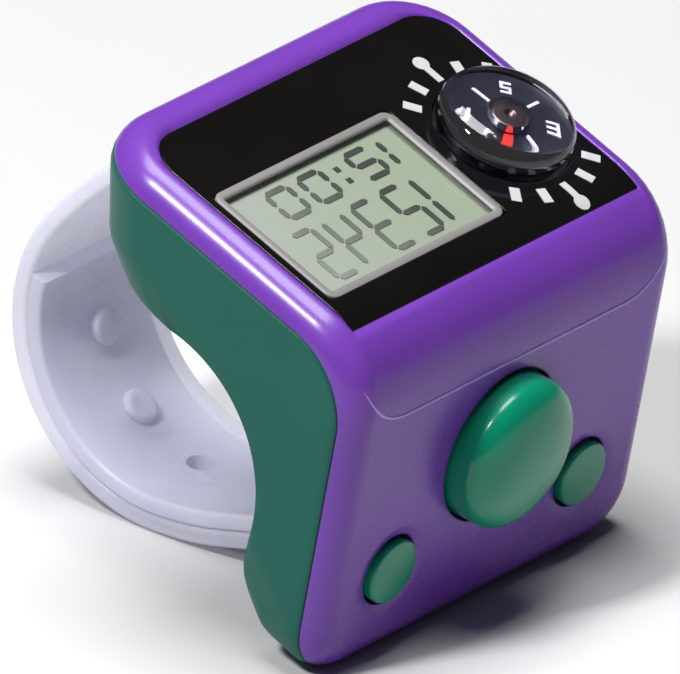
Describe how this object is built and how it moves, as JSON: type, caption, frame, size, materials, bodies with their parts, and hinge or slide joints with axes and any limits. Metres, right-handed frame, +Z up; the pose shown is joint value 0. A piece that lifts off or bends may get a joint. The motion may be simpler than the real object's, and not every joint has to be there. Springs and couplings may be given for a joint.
{
  "type": "digital tasbih counter",
  "caption": "Finger-worn digital tasbih counter: two-colour case with display, domed compass, press buttons and a clear silicone ring band.",
  "frame": {"origin": "axis of the finger opening, in the middle of the case width, with the counter at rest on a table", "axes": "+X along the finger, to the compass side; +Y to the band side; +Z up"},
  "size_m": [0.0376, 0.0439, 0.0367],
  "materials": {
    "purple_shell": "gloss moulded",
    "green_shell": "satin moulded",
    "green_button": "gloss moulded",
    "black_panel": "gloss film",
    "bezel_plastic": "satin",
    "display_glass": "clear",
    "display_back": "clear",
    "display_ink": "matt",
    "reflector": "satin film",
    "contact_rubber": "matt",
    "board": "solder mask",
    "epoxy": "gloss",
    "steel": "plated",
    "cell_steel": "brushed",
    "contact_metal": "plated",
    "membrane_rubber": "matt",
    "ribbon": "satin film",
    "compass_black": "satin",
    "dome_clear": "clear moulded",
    "white_ink": "printed",
    "red_ink": "printed",
    "magnet": "sintered",
    "hub": "dull",
    "band_silicone": "translucent satin"
  },
  "bodies": {
    "case": {"upper_shell": "purple_shell", "lower_shell": "green_shell", "window_panel": "black_panel", "lcd_bezel": "bezel_plastic", "lcd_front_glass": "display_glass", "lcd_segments": "display_ink", "lcd_back_glass": "display_back", "lcd_reflector": "reflector", "zebra_strips": "contact_rubber", "circuit_board": "board", "controller_blob": "epoxy", "timing_crystal": "steel", "board_screws": "steel", "battery_cell": "cell_steel", "battery_top_contact": "contact_metal", "battery_door_contact": "contact_metal", "battery_door": "green_shell", "battery_door_screw": "steel", "case_screws": "steel", "button_membrane": "membrane_rubber", "key_board": "board", "key_board_screws": "steel", "key_ribbon": "ribbon", "compass_cup": "compass_black", "compass_dome": "dome_clear", "compass_pivot_pin": "steel", "compass_scale_marks": "white_ink", "rear_strap": "band_silicone", "front_strap": "band_silicone"},
    "count_cap": {"count_button": "green_button"},
    "reset_cap": {"reset_button": "green_button"},
    "mode_cap": {"mode_button": "green_button"},
    "compass_needle": {"compass_card": "compass_black", "compass_card_marks": "white_ink", "north_arrow": "red_ink", "compass_magnet": "magnet", "compass_hub_cap": "hub"}
  },
  "joints": [
    {"name": "count_press", "type": "slide", "parent": "case", "child": "count_cap", "axis": [0, 0.9892, 0.1466], "range_m": [0, 0.0008], "stiffness_N_per_m": 900},
    {"name": "reset_press", "type": "slide", "parent": "case", "child": "reset_cap", "axis": [0, 0.9892, 0.1466], "range_m": [0, 0.0006], "stiffness_N_per_m": 900},
    {"name": "mode_press", "type": "slide", "parent": "case", "child": "mode_cap", "axis": [0, 0.9892, 0.1466], "range_m": [0, 0.0006], "stiffness_N_per_m": 900},
    {"name": "compass_spin", "type": "hinge", "parent": "case", "child": "compass_needle", "pos_m": [0.0108, -0.00894, 0.01842], "axis": [0, -0.3588, 0.9334], "continuous": true}
  ]
}
